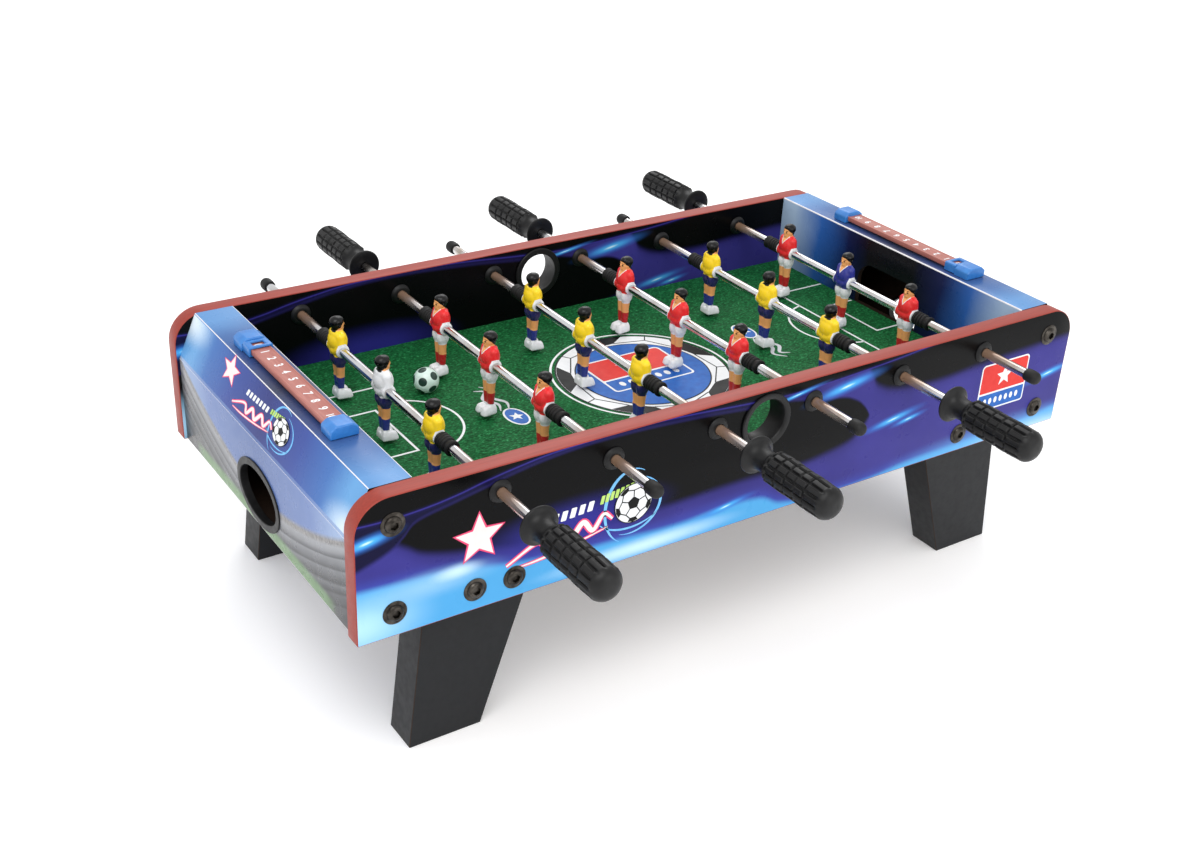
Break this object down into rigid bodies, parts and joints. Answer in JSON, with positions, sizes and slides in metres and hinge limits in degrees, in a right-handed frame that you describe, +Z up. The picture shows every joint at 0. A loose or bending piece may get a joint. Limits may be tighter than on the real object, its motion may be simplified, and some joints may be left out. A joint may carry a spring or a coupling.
{
  "type": "foosball table",
  "caption": "Tabletop foosball table: printed cabinet on short legs with sliding, spinning player rods, goals, ball ports and bead-style scorers.",
  "frame": {"origin": "on the floor under the middle of the table", "axes": "+X along the table from the left goal to the right goal, +Y from the front side board to the rear one, +Z up"},
  "size_m": [0.69, 0.636, 0.2403],
  "materials": {
    "printed_board": "printed film on MDF, satin, with a brick red edge band",
    "printed_panel": "printed film on folded MDF, satin",
    "printed_pitch": "printed playing field on MDF, matt",
    "wrapped_board": "black wrapped MDF",
    "chromed_steel": "chromed steel tube",
    "black_plastic": "moulded black ABS",
    "black_rubber": "moulded rubber",
    "rail_plastic": "moulded plastic with printed white digits",
    "blue_plastic": "moulded blue plastic",
    "yellow_plastic": "painted plastic man, yellow shirt",
    "red_plastic": "painted plastic man, red shirt",
    "ball_plastic": "moulded plastic ball with painted dots"
  },
  "bodies": {
    "table": {"side_board_front": "printed_board", "side_board_rear": "printed_board", "end_panel_left": "printed_panel", "end_panel_right": "printed_panel", "pitch_board": "printed_pitch", "leg_front_left": "wrapped_board", "leg_front_right": "wrapped_board", "leg_rear_left": "wrapped_board", "leg_rear_right": "wrapped_board", "ball_port_front": "black_plastic", "ball_port_rear": "black_plastic", "return_rim_left": "black_plastic", "return_rim_right": "black_plastic", "score_rail_left": "rail_plastic", "score_rail_right": "rail_plastic"},
    "carriage_1": {"bumper_1_front": "black_rubber", "bumper_1_rear": "black_rubber"},
    "rod_1": {"rod_1": "chromed_steel", "handle_1": "black_plastic", "player_1_front": "yellow_plastic", "player_1_middle": "yellow_plastic", "player_1_rear": "yellow_plastic"},
    "carriage_2": {"bumper_2_front": "black_rubber", "bumper_2_rear": "black_rubber"},
    "rod_2": {"rod_2": "chromed_steel", "handle_2": "black_plastic", "player_2_front": "red_plastic", "player_2_middle": "red_plastic", "player_2_rear": "red_plastic"},
    "carriage_3": {"bumper_3_front": "black_rubber", "bumper_3_rear": "black_rubber"},
    "rod_3": {"rod_3": "chromed_steel", "handle_3": "black_plastic", "player_3_front": "yellow_plastic", "player_3_middle": "yellow_plastic", "player_3_rear": "yellow_plastic"},
    "carriage_4": {"bumper_4_front": "black_rubber", "bumper_4_rear": "black_rubber"},
    "rod_4": {"rod_4": "chromed_steel", "handle_4": "black_plastic", "player_4_front": "red_plastic", "player_4_middle": "red_plastic", "player_4_rear": "red_plastic"},
    "carriage_5": {"bumper_5_front": "black_rubber", "bumper_5_rear": "black_rubber"},
    "rod_5": {"rod_5": "chromed_steel", "handle_5": "black_plastic", "player_5_front": "yellow_plastic", "player_5_middle": "yellow_plastic", "player_5_rear": "yellow_plastic"},
    "carriage_6": {"bumper_6_front": "black_rubber", "bumper_6_rear": "black_rubber"},
    "rod_6": {"rod_6": "chromed_steel", "handle_6": "black_plastic", "player_6_front": "red_plastic", "player_6_middle": "red_plastic", "player_6_rear": "red_plastic"},
    "score_slider_left": {"score_slider_left": "blue_plastic"},
    "score_slider_right": {"score_slider_right": "blue_plastic"},
    "ball": {"ball": "ball_plastic"}
  },
  "joints": [
    {"name": "rod_1_slide", "type": "slide", "parent": "table", "child": "carriage_1", "axis": [0, 1, 0], "range_m": [-0.0465, 0.0395]},
    {"name": "rod_1_spin", "type": "hinge", "parent": "carriage_1", "child": "rod_1", "pos_m": [-0.235, 0, 0.21], "axis": [0, 1, 0], "continuous": true},
    {"name": "rod_2_slide", "type": "slide", "parent": "table", "child": "carriage_2", "axis": [0, 1, 0], "range_m": [-0.046, 0.04]},
    {"name": "rod_2_spin", "type": "hinge", "parent": "carriage_2", "child": "rod_2", "pos_m": [-0.141, 0, 0.21], "axis": [0, 1, 0], "continuous": true},
    {"name": "rod_3_slide", "type": "slide", "parent": "table", "child": "carriage_3", "axis": [0, 1, 0], "range_m": [-0.0515, 0.0345]},
    {"name": "rod_3_spin", "type": "hinge", "parent": "carriage_3", "child": "rod_3", "pos_m": [-0.047, 0, 0.21], "axis": [0, 1, 0], "continuous": true},
    {"name": "rod_4_slide", "type": "slide", "parent": "table", "child": "carriage_4", "axis": [0, 1, 0], "range_m": [-0.0455, 0.0405]},
    {"name": "rod_4_spin", "type": "hinge", "parent": "carriage_4", "child": "rod_4", "pos_m": [0.047, 0, 0.21], "axis": [0, 1, 0], "continuous": true},
    {"name": "rod_5_slide", "type": "slide", "parent": "table", "child": "carriage_5", "axis": [0, 1, 0], "range_m": [-0.04, 0.046]},
    {"name": "rod_5_spin", "type": "hinge", "parent": "carriage_5", "child": "rod_5", "pos_m": [0.141, 0, 0.21], "axis": [0, 1, 0], "continuous": true},
    {"name": "rod_6_slide", "type": "slide", "parent": "table", "child": "carriage_6", "axis": [0, 1, 0], "range_m": [-0.042, 0.044]},
    {"name": "rod_6_spin", "type": "hinge", "parent": "carriage_6", "child": "rod_6", "pos_m": [0.235, 0, 0.21], "axis": [0, 1, 0], "continuous": true},
    {"name": "score_left_slide", "type": "slide", "parent": "table", "child": "score_slider_left", "axis": [0, 1, 0], "range_m": [-0.1324, 0]},
    {"name": "score_right_slide", "type": "slide", "parent": "table", "child": "score_slider_right", "axis": [0, 1, 0], "range_m": [0, 0.1324]},
    {"name": "ball_lift", "type": "slide", "parent": "table", "child": "ball", "axis": [0, 0, 1], "range_m": [0, 0.1]}
  ]
}
